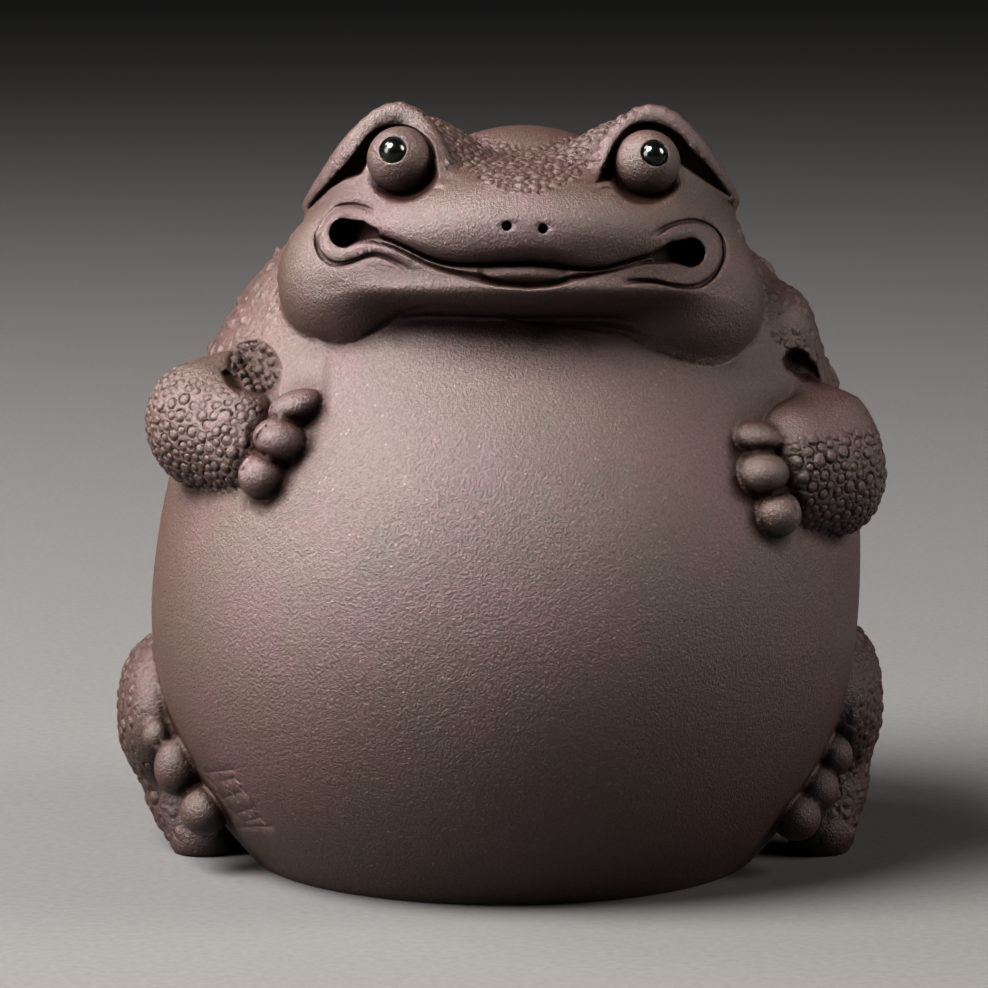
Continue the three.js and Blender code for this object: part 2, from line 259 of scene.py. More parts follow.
LEGS = [
    dict(haunch=((-31.9, 21, 17), (15.5, 18, 16)), knee=((-45.4, 4, 18.7), (5.8, 13, 9.7)),
         shin=[(-45.4, 4, 14.7), (-41.7, 2, 7.3), (-39.8, -1, 2.5)],
         toes=[((-45.1, -9.4, 17.2), (2.1, 2.5, 2.3)), ((-42.4, -11.5, 13.5), (3.1, 3.4, 3.8)),
               ((-38.8, -14, 8.3), (3.2, 3.6, 3.2))]),
    dict(haunch=((33.1, 21, 17), (15.5, 18, 16)), knee=((44.4, 4, 20.5), (5.8, 13, 9.7)),
         shin=[(44.4, 4, 16.5), (42.7, 2, 8.7), (42, -1, 3)],
         toes=[((43, -9.2, 14.6), (2.5, 2.6, 2.7)), ((40.7, -11.3, 10.6), (2.9, 3.1, 3.1)),
               ((37.9, -13.8, 7.4), (3.2, 3.5, 3.1))]),
]
SHIN_RADII = [5, 5, 4.6]


def arm(p, shape):
    d = egg(p, *shape["mitt"])
    d = join(d, chain(p, shape["shoulder"], SHOULDER_RADII, 3), 4)
    d = join(d, egg(p, *shape["palm"]), 5)
    for finger in shape["fingers"]:
        d = join(d, egg(p, *finger), 0.3)
    return d


def leg(p, shape):
    thigh = join(egg(p, *shape["haunch"]), egg(p, *shape["knee"]), 4)
    d = join(thigh, chain(p, shape["shin"], SHIN_RADII, 3), 2.5)
    for toe in shape["toes"]:
        d = join(d, egg(p, *toe), 0.35)
    return d


def both_legs(p):
    return np.minimum(*[leg(p, shape) for shape in LEGS])


def raised(p):
    """Everything that stands up from the clay, before anything is cut into it."""
    d = trunk(p)
    for shape in LEGS:
        middle = np.add(shape["knee"][0], (0, 9, -2))
        d = join(d, within(p, middle, 33, lambda q: leg(q, shape)), 0.8)
    d = join(d, within(p, HEAD_MIDDLE, 36, face), 0.9)
    for shape in ARMS:
        middle = np.add(shape["mitt"][0], (0, -4, 0))
        d = join(d, within(p, middle, 21, lambda q: arm(q, shape)), 0.6)
    return d


def uncut(p):
    """The whole form on its flat foot."""
    return np.maximum(raised(p), -p[:, 2])


def side_by_side(form, p):
    """A form worked out for many places, in slices that run side by side."""
    slices = np.array_split(p, max(1, len(p) // 8000))
    with ThreadPoolExecutor(4) as pool:
        return np.concatenate(list(pool.map(form, slices)))


CORNERS = array([(1, -1, -1), (-1, -1, 1), (-1, 1, -1), (1, 1, 1)])


def slope(form, p, reach=0.04):
    """A form's distance and its outward direction at many places."""
    values = [side_by_side(form, p + corner * reach) for corner in CORNERS]
    out = sum(v[:, None] * corner for v, corner in zip(values, CORNERS)) / (4 * reach)
    length = np.sqrt((out * out).sum(1))[:, None]
    return sum(values) / 4, out / np.maximum(length, 1e-6), length[:, 0]


def settle(form, p, times):
    """Moves places onto a form's surface."""
    for _ in range(times):
        d, way, steep = slope(form, p)
        step = np.clip(d / np.maximum(steep, 0.5), -0.6, 0.6)
        p = p - way * step[:, None]
    return p, way


def show(name, data):
    """Puts a new object with this data into the scene."""
    made = bpy.data.objects.new(name, data)
    bpy.context.scene.collection.objects.link(made)
    return made


def finish_mesh(work, name):
    mesh = bpy.data.meshes.new(name)
    work.to_mesh(mesh)
    work.free()
    return mesh


# The rough lump that the form is worked from. Bigger lumps have finer faces.
def press(work, centre, radii, turned=None, fineness=3):
    """Adds a ball or an egg of clay."""
    place = Matrix.Translation(centre)
    if turned is not None:
        place = place @ Matrix(turned.tolist()).to_4x4()
    place = place @ Matrix.Diagonal((*radii, 1))
    bmesh.ops.create_icosphere(work, subdivisions=fineness, radius=1, matrix=place)


def press_chain(work, points, radii):
    """Adds a row of small balls close together along a line."""
    for i in range(len(points) - 1):
        start, end = np.array(points[i], float), np.array(points[i + 1], float)
        steps = max(2, int(np.linalg.norm(end - start) / 0.7))
        for step in range(steps + 1):
            t = step / steps
            size = radii[i] * (1 - t) + radii[i + 1] * t
            press(work, start * (1 - t) + end * t, (size, size, size), fineness=2)


def press_limbs(work):
    for shape in ARMS:
        press(work, *shape["mitt"])
        press(work, *shape["palm"])
        press_chain(work, shape["shoulder"], SHOULDER_RADII)
        for finger in shape["fingers"]:
            press(work, *finger)
    for shape in LEGS:
        press(work, *shape["haunch"], fineness=4)
        press(work, *shape["knee"])
        press_chain(work, shape["shin"], SHIN_RADII)
        for toe in shape["toes"]:
            press(work, *toe)


def rough_lump():
    """Balls and eggs of clay pressed together, cut flat below, and fused into one skin."""
    work = bmesh.new()
    for part, fineness in ((BELLY, 5), (BACK, 5), (NAPE, 4), (LEFT_SHOULDER, 3), (SKULL, 4), (RIGHT_JOWL, 3),
                           (LEFT_JOWL, 3), (SNOUT, 4), (CHIN, 4)):
        press(work, *part, fineness=fineness)
    for eye in EYES:
        press(work, *brow(eye))
        press_chain(work, eye["hood"], HOOD_RADII)
    press_limbs(work)
    bmesh.ops.bisect_plane(work, geom=work.verts[:] + work.edges[:] + work.faces[:],
                           plane_co=(0, 0, 0), plane_no=(0, 0, -1), clear_outer=True)
    bmesh.ops.holes_fill(work, edges=[e for e in work.edges if e.is_boundary], sides=0)
    mesh = finish_mesh(work, "rough_lump")
    lump = show("rough_lump", mesh)
    fuse = lump.modifiers.new("fuse", "REMESH")
    fuse.mode = "VOXEL"
    fuse.voxel_size = GRID
    fused = lump.evaluated_get(bpy.context.evaluated_depsgraph_get())
    out = bmesh.new()
    out.from_mesh(fused.to_mesh())
    bpy.data.objects.remove(lump)
    bpy.data.meshes.remove(mesh)
    return out


def places_of(work):
    return array([v.co[:] for v in work.verts])


def move_to(work, places):
    for vertex, place in zip(work.verts, places.tolist()):
        vertex.co = place


def refine(work, wanted):
    """Halves the grid where it is wanted, and lays the new corners on the form."""
    keep = wanted(places_of(work))
    edges = {e for face in work.faces if all(keep[v.index] for v in face.verts) for e in face.edges}
    known = len(work.verts)
    bmesh.ops.subdivide_edges(work, edges=list(edges), cuts=1, use_grid_fill=True)
    work.verts.index_update()
    places = places_of(work)
    fresh = np.arange(len(places)) >= known
    places[fresh], _ = settle(uncut, places[fresh], 2)
    move_to(work, places)


# Marks on the face: lines and widths are in pixels of the picture, depths in hundredths.
# Each lip is a rolled edge that starts above its corner of the mouth and runs round and under it.
LIP_LINE = smooth_line([(376, 217), (358, 212), (343, 211.5), (330, 216), (323, 227), (322.5, 240),
                        (329, 250), (341, 255), (355, 253), (369, 248.5), (384, 250), (398, 256.5),
                        (418, 266), (439, 274.5), (461, 281.5), (483, 287.5), (505, 291.5), (530, 294),
                        (553, 292), (575, 287), (597, 280.5), (618, 274), (636, 271), (655, 271.5),
                        (672, 275), (688, 277), (703, 272), (711.5, 261), (714, 247), (709, 235),
                        (697, 229.5), (683, 230), (667, 235), (652, 242)])
LIP_WIDTHS = [6.2, *8 * [6.5], 6, *10 * [5.5], 6, 7, 8, *7 * [8.5], 8, 7.5, 7, 6]
GROOVE_LINES = [
    smooth_line([(374, 213), (366, 208.5), (352, 205.3), (338, 208), (325, 219), (318, 234), (318.5, 249),
                 (326, 260), (338, 264), (352, 261), (367, 255.5), (378, 254.5), (390, 258.5), (403, 266),
                 (415, 273)]),
    smooth_line([(650, 238.5), (666, 228), (681, 222.8), (696, 221.8), (710, 227.5), (720.5, 239.5),
                 (723, 254.5), (716, 272), (704, 283), (689, 286.5), (673, 285), (653, 281), (635, 281),
                 (620, 285)]),
]
GROOVE_FADES = [(0, 0.08, 0.85, 1), (0, 0.07, 0.9, 1)]
CORNER_HOLES = [((344.5, 233, 14.5), (360, 231, 10), (374, 233.5, 5.5)),
                ((690, 252.5, 14.3), (674, 252, 10.5), (656, 256, 5))]
NOSTRILS = ((507, 226), (543, 228.7))
NOSTRIL_SIZE = 4.5

# Places across the mouth, and how far down the upper lip starts to turn under there, the slit beneath
# it and the inside of the lower lip. Then the middle, where the mouth fades out at its ends, and the
# tongue as its middle, half its width and its height.
MOUTH_ACROSS = [366, 382, 394, 410, 426, 441, 454, 473, 498, 530, 552, 564, 578, 593, 608, 622, 645,
                660, 672]
UPPER_TURN = [219, 224, 230, 237, 243, 247.5, 249, 248, 245.5, 243.5, 245, 248, 254, 259, 259.5, 257,
              250, 244, 241]
SLIT = [236, 238.5, 242.5, 250, 258, 263, 265.5, 266.3, 265.5, 265, 266.3, 268, 269.5, 270, 268, 264,
        257, 253, 251]
LOWER_INSIDE = [241, 244, 248, 255.5, 264, 269.5, 273, 278, 283.5, 286, 284, 281.5, 277, 275, 272,
                268.5, 263, 261, 260]
MOUTH_MIDDLE = 519
MOUTH_ENDS = (350, 366, 664, 682)
TONGUE = (525, 49, 18)

# The crease under the chin and jowls
CHIN_LINE = smooth_line([(296, 312), (306, 326), (319, 339), (335, 346), (356, 342), (380, 327),
                         (404, 312), (430, 307), (460, 308), (490, 313), (525, 320), (558, 324),
                         (589, 328), (615, 333), (637, 341), (660, 353), (684, 362), (705, 366),
                         (724, 365), (741, 354), (752, 338), (760, 320)], 2)


def rise(t):
    """A smooth step from 0 to 1."""
    t = np.clip(t, 0, 1)
    return t * t * (3 - 2 * t)


def fade(where, stops):
    """Rises from 0 between the first two stops and falls back between the last two."""
    return rise((where - stops[0]) / (stops[1] - stops[0])) * rise((stops[3] - where) / (stops[3] - stops[2]))


def hole(uv, rounds):
    """How far places in the picture lie outside a run of rounds, and the size of the run there."""
    out = np.full(len(uv), 1e9, np.float32)
    size = np.zeros(len(uv), np.float32)
    for (x0, y0, r0), (x1, y1, r1) in zip(rounds, rounds[1:]):
        way = array((x1 - x0, y1 - y0))
        q = uv - array((x0, y0))
        along = np.clip(q @ way / (way @ way), 0, 1)
        radius = r0 + along * (r1 - r0)
        gap = np.sqrt(((q - along[:, None] * way) ** 2).sum(1)) - radius
        nearer = gap < out
        out[nearer] = gap[nearer]
        size[nearer] = radius[nearer]
    return out, size / FACE_PIXELS


def opening_depth(uv):
    """How deep the opening of the mouth is, and where the tongue shows in it."""
    across, down = uv.T
    lines = (UPPER_TURN, SLIT, LOWER_INSIDE)
    turn_at, slit_at, inside_at = [np.interp(across, MOUTH_ACROSS, line) for line in lines]

    # The upper lip rounds under, and the slit is darkest right below it
    band = np.clip((down - turn_at) / (slit_at - turn_at), 0, 1)
    height = (slit_at - turn_at) / FACE_PIXELS
    under = 1.25 * height * (1 - np.sqrt(1 - 0.97 * band * band))
    slit = 1.5 * rise(1 - np.abs(down - slit_at + 0.8) / 3.2)

    # Below the slit a thin inner fold of the lip runs beside the tongue
    inner = np.clip((down - slit_at) / (inside_at - slit_at), 0, 1)
    fold = 0.75 - 0.45 * np.exp(-((inner - 0.45) / 0.22) ** 2) + 0.45 * np.exp(-((inner - 0.9) / 0.2) ** 2)
    past = rise((down - inside_at) / 5.5)

    # The tongue swells out of a deeper bed
    middle, half_width, tall = TONGUE
    lens = np.clip(1 - ((across - middle) / half_width) ** 2, 0, 1)
    foot = slit_at + tall * np.sqrt(lens)
    on_tongue = rise((foot - down) / 1.8) * rise(lens / 0.45)
    bed = fold * (1 - rise(lens / 0.8)) + 2.0 * rise(lens / 0.8)
    down_it = np.clip((down - slit_at) / tall, 0, 1)
    swell = 0.45 + 1.3 * ((down_it - 0.45) / 0.55) ** 2 + 0.5 * (1 - lens)

    ledge = bed * (1 - on_tongue) + swell * on_tongue
    floor = np.where(down < slit_at, under, ledge * (1 - past))
    return (floor + slit) * fade(across, MOUTH_ENDS), on_tongue * (down > slit_at + 2)


def lip_height(uv):
    """How far the lips stand out. They are round rolls, a little flatter in the middle."""
    gap, where = line_distance(uv, LIP_LINE)
    width = np.interp(where, np.linspace(0, 1, len(LIP_WIDTHS)), LIP_WIDTHS)
    roll = np.sqrt(np.clip(1 - (gap / width) ** 2, 0, 1)) * width / FACE_PIXELS
    middle = fade(where, (0.3, 0.42, 0.6, 0.7))
    return roll * (0.95 - 0.35 * middle) * fade(where, (0, 0.06, 0.94, 1))


def mouth_depth(uv):
    """How far the mouth, lips and nostrils lie behind the plain face, and where the tongue is."""
    depth, tongue = opening_depth(uv)
    depth = depth - lip_height(uv)

    # A groove and a faint raised line run round outside each corner of the mouth
    for line, stops in zip(GROOVE_LINES, GROOVE_FADES):
        gap, where = line_distance(uv, line)
        shown = fade(where, stops)
        depth = depth + 1.0 * rise(1.3 - gap / 3.2) * shown
        depth = depth - 0.12 * np.exp(-((gap - 4.6) / 1.4) ** 2) * shown
    for rounds in CORNER_HOLES:
        gap, size = hole(uv, rounds)
        depth = np.maximum(depth, (0.4 + 4.2 * size) * rise((1.0 - gap) / 3))
    for nostril in NOSTRILS:
        gap = np.sqrt(((uv - array(nostril)) ** 2).sum(1))
        depth = depth + 2.6 * rise((NOSTRIL_SIZE + 0.7 - gap) / 2)
    return depth, tongue


# The shadow round each eyeball, which widens outwards under the hood: rounds as across, down and radius
EYE_HOLLOWS = [((431, 149, 0.8), (424, 137, 1.2), (413, 129, 1.5), (400, 126, 1.9), (387, 127.5, 2.5),
                (378, 131.5, 3.4), (370, 140, 5.2), (364, 153, 7.6), (355.5, 167, 9), (342, 175.5, 5.3),
                (329, 186.5, 2.8), (318, 198, 2.2), (309, 208, 1.2)),
               ((597, 182, 1.6), (609, 174, 8), (612, 160, 5), (617, 146, 4), (624.5, 135.5, 4),
                (633, 128.5, 4), (645, 126, 4), (656, 127, 4), (667, 132, 4.8), (677, 141, 6.5),
                (687, 158, 8.8), (698, 167, 8), (710, 178, 5.8), (720, 187.5, 3), (729, 195.5, 1.2))]

# How far an eyeball stands out of the skin beside it
LID_SHOWING = 0.9


def eye_depth(p, uv):
    """How deep the shadow round each eyeball is, and how far back the skin is drawn to meet the ball."""
    depth = np.zeros(len(uv), np.float32)
    for eye, rounds in zip(EYES, EYE_HOLLOWS):
        middle = picture(eye["centre"][None])[0]
        radius = eye["radius"] * FACE_PIXELS
        from_ball = np.sqrt(((uv - middle) ** 2).sum(1)) - radius
        gap, size = hole(uv, rounds)
        offset = eye["centre"] - p
        before = (offset * sight(p)).sum(1)
        below = rise((uv[:, 1] - middle[1]) / 20)
        drawn = np.maximum(before - LID_SHOWING, 0) * rise(1 - from_ball / (3 + 8 * below))
        behind_ball = (0.8 * rise(-from_ball / 6)) * (from_ball < 0)
        depth = np.maximum(depth, drawn + behind_ball)
        depth = np.maximum(depth, (0.7 + 2.6 * size) * rise((0.8 - gap) / 2.6))
    return depth


# The hollows under the shoulders and the creases behind the fingers
ARMPIT = ((243, 362, 16), (254, 367, 27), (258, 372, 25))
ARMPIT_RIM = smooth_line([(232, 345), (243, 340.5), (256, 340), (268, 346), (276.5, 357), (280, 371),
                          (280.5, 388), (278, 398)])
ARMPIT_DEEP = ((226, 374, 4), (233, 382, 6), (240, 389, 4))
FLAP_HOLLOW = ((795, 361, 12), (808, 372, 10), (819, 382, 4.5))
FINGER_CREASES = [smooth_line(line) for line in (
    [(275, 420), (264, 429), (257.5, 438), (255, 448)],
    [(260, 452), (250, 459.5), (244.5, 468), (243.5, 478)],
    [(268, 416), (274, 405)],
    [(762, 447), (771, 450), (779, 453)],
    [(786, 470), (785, 486), (774, 493)],
    [(786, 491), (795, 503), (798, 517)],
)]


def armpit_depth(uv):
    gap, _ = hole(uv, ARMPIT)
    depth = 0.9 * rise((1 - gap) / 5)
    rim, where = line_distance(uv, ARMPIT_RIM)
    depth = depth - 0.3 * rise(1.2 - rim / 3.4) * fade(where, (0, 0.1, 0.9, 1))
    gap, _ = hole(uv, ARMPIT_DEEP)
    depth = depth + 1.6 * rise((1.5 - gap) / 5)
    gap, size = hole(uv, FLAP_HOLLOW)
    depth = depth + (0.5 + 1.8 * size) * rise((2.5 - gap) / 8)
    for line in FINGER_CREASES:
        gap, where = line_distance(uv, line)
        depth = depth + 0.6 * rise(1.25 - gap / 2.4) * fade(where, (0, 0.2, 0.8, 1))
    return depth


# Thin lids and creases round each eye: a line, its half width, and its height, negative where cut in
LID_LINES = [(smooth_line(line), half_width, height) for line, half_width, height in (
    ([(404, 124), (418, 128.5), (430, 139), (436.5, 153), (438, 168), (439, 181)], 2.0, 0.34),
    ([(368.5, 186), (377, 194), (390, 198.5), (403, 199), (417, 195.5), (434, 187.5)], 2.2, 0.3),
    ([(440, 179), (446, 178), (453, 176.5)], 2.2, -0.3),
    ([(423, 192.5), (432, 189.5), (446, 187.5)], 1.8, -0.35),
    ([(596, 186), (604, 184.5), (614, 185.5), (624, 191), (640, 197), (655, 198)], 2.2, 0.3),
    ([(596, 190.5), (605, 189.5), (615, 189.5)], 1.8, -0.35),
    ([(604, 199), (620, 206), (640, 211)], 5.0, 0.1),
)]


def lid_depth(uv):
    depth = np.zeros(len(uv), np.float32)
    for line, half_width, height in LID_LINES:
        gap, where = line_distance(uv, line)
        depth -= height * rise(1.3 - gap / (half_width * 1.3)) * fade(where, (0, 0.15, 0.85, 1))
    return depth


def chin_depth(uv):
    gap, where = line_distance(uv, CHIN_LINE)
    return 0.5 * rise(1.2 - gap / 3) * fade(where, (0, 0.15, 0.85, 1))


# The seal low on the belly: rows of shallow strokes in a slanting panel, as ends in the picture
SEAL_MIDDLE = (239, 799)
SEAL_STROKES = [((206, 772.5), (235, 769.5)), ((240, 827), (272, 826)), ((208, 777), (216, 788)),
                ((220, 775), (228, 786)), ((233, 777), (240, 783)), ((221, 781), (234, 778)),
                ((217, 792), (226, 803)), ((229, 789), (239, 801)), ((241, 787), (247, 795)),
                ((226, 797), (240, 792)), ((229, 807), (238, 817)), ((241, 805), (250, 816)),
                ((253, 802), (258, 811)), ((238, 813), (252, 808)), ((246, 821), (262, 817)),
                ((256, 814), (265, 823))]


def seal_depth(uv):
    depth = np.zeros(len(uv), np.float32)
    for ends in SEAL_STROKES:
        gap, _ = line_distance(uv, array(ends))
        depth = np.maximum(depth, 0.24 * rise(1.3 - gap / 1.2))
    return depth


# Warts, pits and scales, scattered over regions of the skin
CROWN_MIDDLE = 528
MOST_WARTS = 900
Warts = namedtuple("Warts", "wanted small large spacing tall ring")


def scatter(rng, places, sizes, spacing):
    """Picks places in a random order that keep clear of each other."""
    order = rng.permutation(len(places))
    cell = 2 * spacing * float(sizes.max())
    taken = {}
    picked = []
    for i in order:
        place = places[i]
        key = tuple((place // cell).astype(int))
        near = [j for a in (-1, 0, 1) for b in (-1, 0, 1) for c in (-1, 0, 1)
                for j in taken.get((key[0] + a, key[1] + b, key[2] + c), ())]
        if all(np.sum((places[j] - place) ** 2) > (spacing * (sizes[i] + sizes[j])) ** 2 for j in near):
            taken.setdefault(key, []).append(i)
            picked.append(i)
            if len(picked) >= MOST_WARTS:
                break
    return np.array(picked, int)


def wart_regions(p):
    """Each region of warts.

    It says how much a wart is wanted at each place, the least and greatest radius, the spacing, the
    height as a share of the radius, and the depth of the ring round a wart as such a share.
    """
    x, y, z = p.T
    fingers = [finger[0] for shape in ARMS for finger in shape["fingers"]]
    bare_fingers = rise(nearest_ball(p, fingers, 3.3))
    right_arm, left_arm = [arm(p, shape) for shape in ARMS]
    on_right_arm = (right_arm < 0.3) * bare_fingers * rise((69 - z - 0.35 * (x + 45)) / 3)
    on_left_arm = (left_arm < 0.3) * bare_fingers * rise((60 - z) / 3)

    uv = picture(p)
    off_mitt = ball(p, ARMS[0]["mitt"][0], 8.4) > -1.5
    in_armpit = (hole(uv, ARMPIT)[0] < -4) & (y < 0) & (y > -30) & off_mitt

    across, down = uv.T
    bow = (across - CROWN_MIDDLE) ** 2
    off_eyes = nearest_ball(p, [eye["centre"] for eye in EYES], 6.3) > 0
    on_crown = ((y < 8) & (z > 86) & (across > CROWN_MIDDLE - 110) & (across < CROWN_MIDDLE + 110)
                & (down < 194 - 0.0066 * bow) & (down > 146 - 0.006 * bow))

    legs = both_legs(p)
    toes = [toe[0] for shape in LEGS for toe in shape["toes"]]
    on_legs = (legs < 0.6) & (nearest_ball(p, toes, 3.4) > 0.5)
    on_back = (y > 6) & (z > 30) & (z < 84) & (legs > 1)
    beside_neck = (y > -12) & (y < 8) & (np.abs(x) > 24) & (z > 61) & (z < 84)
    on_shoulders = beside_neck & (np.minimum(right_arm, left_arm) > 0.5) & (legs > 1)
    on_nape = (y > 10) & (z > 72) & (np.abs(x - 2.6) > 14)
    return [
        Warts(on_right_arm, 0.55, 0.98, spacing=1.04, tall=0.2, ring=0.3),
        Warts(on_left_arm, 0.55, 1.0, spacing=1.04, tall=0.24, ring=0.32),
        Warts(in_armpit.astype(float), 0.7, 1.0, spacing=1.02, tall=0.75, ring=0.25),
        Warts(on_crown * off_eyes, 0.5, 0.95, spacing=0.95, tall=0.22, ring=0.42),
        Warts(on_legs.astype(float), 0.5, 1.05, spacing=1.0, tall=0.26, ring=0.2),
        Warts(on_back.astype(float), 0.9, 2.1, spacing=1.6, tall=0.36, ring=0.1),
        Warts(on_shoulders.astype(float), 0.5, 1.1, spacing=1.25, tall=0.28, ring=0.2),
        Warts(on_nape.astype(float), 0.6, 1.3, spacing=1.5, tall=0.3, ring=0.12),
    ]


def add_warts(rng, p):
    """How high each place stands in its wart, and how near it is to the shallow ring round one."""
    height = np.zeros(len(p), np.float32)
    rings = np.zeros(len(p), np.float32)
    for kind in wart_regions(p):
        there = np.nonzero(kind.wanted > rng.random(len(p)))[0]
        if not len(there):
            continue
        sizes = array(kind.small + (kind.large - kind.small) * rng.random(len(there)) ** 1.6)
        picked = scatter(rng, p[there], sizes, kind.spacing)
        tree = kdtree.KDTree(len(picked))
        for i, seed in enumerate(picked):
            tree.insert(p[there[seed]], i)
        tree.balance()
        tops = array(kind.tall * (0.7 + 0.6 * rng.random(len(picked))))
        lean = array(rng.normal(size=(len(picked), 3)))
        close = np.nonzero(kind.wanted > 0)[0]
        found = [tree.find(place) for place in p[close].tolist()]
        index = np.array([f[1] for f in found])
        offset = p[close] - p[there[picked[index]]]
        radius = sizes[picked[index]]
        t = array([f[2] for f in found]) / radius
        tilt = 1 + 0.5 * (offset * lean[index]).sum(1) / radius / 1.7
        dome = tops[index] * radius * np.clip(1 - t * t, 0, 1) ** 0.8
        ring = np.exp(-((t - 1.05) / 0.16) ** 2) * np.clip(tilt, 0.1, 1.9)
        share = np.minimum(kind.wanted[close], 1)
        height[close] += (dome - kind.ring * radius * ring) * share
        rings[close] = np.maximum(rings[close], np.minimum(ring * kind.ring / 0.3, 1) * share)
    return height, rings


# Where the skin is finer, because marks are cut there
HOLLOWS = ((-29.5, -19, 66), (39.5, -15, 65.5))
FACE_MIDDLE = 2.3


def in_front(p):
    """The places on the face that its marks are cut in."""
    return (p[:, 1] < -6) & (p[:, 2] > 68) & (np.abs(p[:, 0] - FACE_MIDDLE) < 32)


def on_seal(p):
    across, down = np.abs(picture(p) - array(SEAL_MIDDLE)).T
    return (p[:, 1] < -10) & (across < 42) & (down < 38)


def on_limbs(p):
    mitts = nearest_ball(p, [shape["mitt"][0] for shape in ARMS], 13)
    knees = nearest_ball(p, [np.add(shape["knee"][0], (0, 4, -4)) for shape in LEGS], 17)
    hollows = np.minimum(ball(p, HOLLOWS[0], 7.5), ball(p, HOLLOWS[1], 8))
    crown = (p[:, 2] > 88) & (p[:, 1] < 6)
    return (mitts < 0) | (knees < 0) | (hollows < 0) | crown


def on_hands(p):
    hands = nearest_ball(p, [np.add(shape["mitt"][0], (0, -4, 0)) for shape in ARMS], 11)
    return ((hands < 0) & (p[:, 1] < -9)) | (nearest_ball(p, HOLLOWS, 7) < 0)


def on_features(p):
    """The places near the lips, the slit, the holes, the lids and the rims of the eyeballs."""
    uv = picture(p)
    lips = np.minimum.reduce([line_distance(uv, line)[0] for line in (LIP_LINE, *GROOVE_LINES)])
    past_ends = np.abs(uv[:, 0] - MOUTH_MIDDLE) > 158
    slit = np.abs(uv[:, 1] - np.interp(uv[:, 0], MOUTH_ACROSS, SLIT)) + 99 * past_ends
    holes = np.minimum(*[hole(uv, rounds)[0] for rounds in CORNER_HOLES])
    nostrils = np.minimum(*[np.sqrt(((uv - array(place)) ** 2).sum(1)) for place in NOSTRILS])
    lids = np.minimum.reduce([line_distance(uv, line)[0] for line, _, _ in LID_LINES])
    near = np.minimum.reduce([lips - 13, slit - 26, holes - 8, nostrils - 10, lids - 7])
    rims = np.minimum(*[np.abs(ball(p, eye["centre"], eye["radius"] + 0.7)) for eye in EYES])
    return in_front(p) & (p[:, 2] > 74) & ((near < 0) | (rims < 1.4))


def fine_here(p):
    return (in_front(p) & (p[:, 2] > 71)) | on_limbs(p) | on_seal(p)


def finest_here(p):
    return on_features(p) | on_seal(p) | on_hands(p)


# The pupils: glossy beads, each in a cup in its eyeball
PUPILS = ("right_pupil", "left_pupil")
BEAD_WIDTH = 0.97
CUP_SIZE = 1.05


def pupil_place(name):
    """The centre and radius of a pupil bead, in hundredths."""
    low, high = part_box(name)
    return array((low + high) / 2 / HUNDREDTH), float((high - low).z / 2 / HUNDREDTH)


def model_pupil(name):
    """A glazed bead, a little taller than wide."""
    centre, radius = pupil_place(name)
    work = bmesh.new()
    place = Matrix.Translation(centre.tolist()) @ Matrix.Diagonal((BEAD_WIDTH, 1, 1, 1))
    bmesh.ops.create_icosphere(work, subdivisions=5, radius=radius, matrix=place)
    bmesh.ops.scale(work, vec=(HUNDREDTH,) * 3, verts=work.verts[:])
    mesh = finish_mesh(work, name + "_bead")
    mesh.shade_smooth()
    return show(name + "_bead", mesh)


def add_eyeballs(mesh):
    """Adds each eyeball, with a cup where it faces its bead."""
    work = bmesh.new()
    work.from_mesh(mesh)
    for eye, name in zip(EYES, PUPILS):
        bead, radius = pupil_place(name)
        gaze = Vector((bead - eye["centre"]).tolist()).normalized()
        facing = gaze.to_track_quat("Z", "Y").to_matrix().to_4x4()
        place = Matrix.Translation(eye["centre"] * HUNDREDTH) @ facing
        made = bmesh.ops.create_uvsphere(work, u_segments=72, v_segments=44,
                                         radius=eye["radius"] * HUNDREDTH, matrix=place)
        for vert in made["verts"]:
            out = vert.co / HUNDREDTH - Vector(bead.tolist())
            along = out.dot(gaze)
            aside = (out - gaze * along).length
            if along > 0 and aside < radius * 0.98:
                cup = math.sqrt((radius * CUP_SIZE) ** 2 - aside ** 2)
                vert.co -= gaze * HUNDREDTH * (along + cup)
    bmesh.ops.triangulate(work, faces=work.faces[:])
    work.to_mesh(mesh)
    work.free()


# Putting the clay together. How far a place lies in a crease or a cut mark is kept as a layer of
# the mesh, which the material uses to paint shade there: a darker colour and a weaker shine.
def mark(places, outward):
    """Cuts the marks along the line of sight, adds the warts, and works out how much painted shade each place
    gets.
    """
    uv = picture(places)
    mouth, tongue = mouth_depth(uv)
    depth = in_front(places) * (mouth + eye_depth(places, uv) + lid_depth(uv))
    depth += ((places[:, 1] < 0) & (np.abs(places[:, 2] - 58) < 16)) * armpit_depth(uv)
    depth += on_seal(places) * seal_depth(uv)
    depth += ((places[:, 1] < -12) & (places[:, 2] < 76)) * chin_depth(uv)
    # Painted shade: a place is darkened where other clay closes in a short way out along its outward
    # direction, and where a mark is cut in, except on the tongue.
    open_air = side_by_side(uncut, places + outward * SHADE_REACH)
    painted_shade = np.maximum(rise(1 - open_air / SHADE_REACH), rise(depth / 2) * (1 - tongue))
    places += sight(places) * depth[:, None]

    height, rings = add_warts(np.random.default_rng(SEED), places)
    places += outward * height[:, None]
    legs = side_by_side(both_legs, places)
    # Painted shade also darkens the rings round the warts, and all of the legs a little.
    painted_shade = np.maximum.reduce([painted_shade, 0.7 * rings, 0.3 * (legs < 0.6)])
    places[:, 2] = np.maximum(places[:, 2], 0)
    return places, painted_shade


def thin_out(clay):
    """Leaves out the corners that the flatter stretches of the skin don't need."""
    thick = clay.data
    thin = clay.modifiers.new("thin", "DECIMATE")
    thin.ratio = min(1.0, SKIN_TRIANGLES / len(thick.polygons))
    evaluated = clay.evaluated_get(bpy.context.evaluated_depsgraph_get())
    clay.data = bpy.data.meshes.new_from_object(evaluated)
    clay.modifiers.clear()
    bpy.data.meshes.remove(thick)


